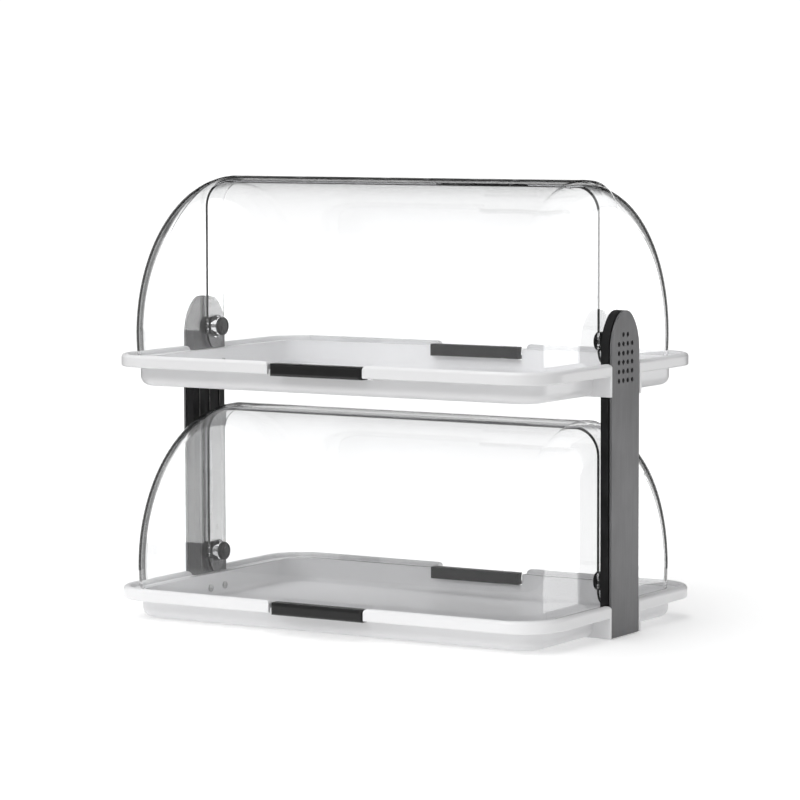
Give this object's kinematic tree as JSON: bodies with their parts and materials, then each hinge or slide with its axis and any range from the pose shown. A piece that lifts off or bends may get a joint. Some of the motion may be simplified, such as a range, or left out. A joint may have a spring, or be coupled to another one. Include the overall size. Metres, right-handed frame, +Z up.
{
  "type": "countertop bread display bin",
  "caption": "Two-tier roll-top bread display: white trays between two posts, under clear nested half-drum covers that open from the front and the rear.",
  "frame": {"origin": "centre of the footprint, on the surface that the display stands on", "axes": "+X along the trays to the right-hand post, +Y to the rear, +Z up; the front is at -Y"},
  "size_m": [0.47, 0.312, 0.414],
  "materials": {
    "white_abs": "glossy white moulded plastic",
    "clear_cover": "clear polished plastic",
    "grey_plate": "satin grey metallic",
    "black_core": "fine matt black moulding",
    "pivot_black": "satin black moulding",
    "grip_black": "satin black with soft edges",
    "screw_steel": "bright zinc",
    "screw_black": "black oxide",
    "foot_rubber": "matt rubber"
  },
  "bodies": {
    "stand": {"tray_lower": "white_abs", "tray_upper": "white_abs", "post_core_left": "black_core", "post_plate_left": "grey_plate", "post_core_right": "black_core", "post_plate_right": "grey_plate", "pivot_pin_lower_left": "pivot_black", "pivot_collar_lower_left": "pivot_black", "pivot_knob_lower_left": "pivot_black", "pivot_pin_lower_right": "pivot_black", "pivot_collar_lower_right": "pivot_black", "pivot_knob_lower_right": "pivot_black", "pivot_pin_upper_left": "pivot_black", "pivot_collar_upper_left": "pivot_black", "pivot_knob_upper_left": "pivot_black", "pivot_pin_upper_right": "pivot_black", "pivot_collar_upper_right": "pivot_black", "pivot_knob_upper_right": "pivot_black", "tray_screws": "screw_steel", "post_screws": "screw_black", "tray_feet": "foot_rubber", "post_feet": "foot_rubber"},
    "front_half_lower": {"front_cover_lower": "clear_cover", "front_grip_lower": "grip_black", "front_grip_screws_lower": "screw_steel"},
    "front_half_upper": {"front_cover_upper": "clear_cover", "front_grip_upper": "grip_black", "front_grip_screws_upper": "screw_steel"},
    "rear_half_lower": {"rear_cover_lower": "clear_cover", "rear_grip_lower": "grip_black", "rear_grip_screws_lower": "screw_steel"},
    "rear_half_upper": {"rear_cover_upper": "clear_cover", "rear_grip_upper": "grip_black", "rear_grip_screws_upper": "screw_steel"}
  },
  "joints": [
    {"name": "front_open_lower", "type": "hinge", "parent": "stand", "child": "front_half_lower", "pos_m": [0, 0, 0.049], "axis": [-1, 0, 0], "range_deg": [0, 90]},
    {"name": "front_open_upper", "type": "hinge", "parent": "stand", "child": "front_half_upper", "pos_m": [0, 0, 0.268], "axis": [-1, 0, 0], "range_deg": [0, 90]},
    {"name": "rear_open_lower", "type": "hinge", "parent": "stand", "child": "rear_half_lower", "pos_m": [0, 0, 0.049], "axis": [1, 0, 0], "range_deg": [0, 90]},
    {"name": "rear_open_upper", "type": "hinge", "parent": "stand", "child": "rear_half_upper", "pos_m": [0, 0, 0.268], "axis": [1, 0, 0], "range_deg": [0, 90]}
  ]
}
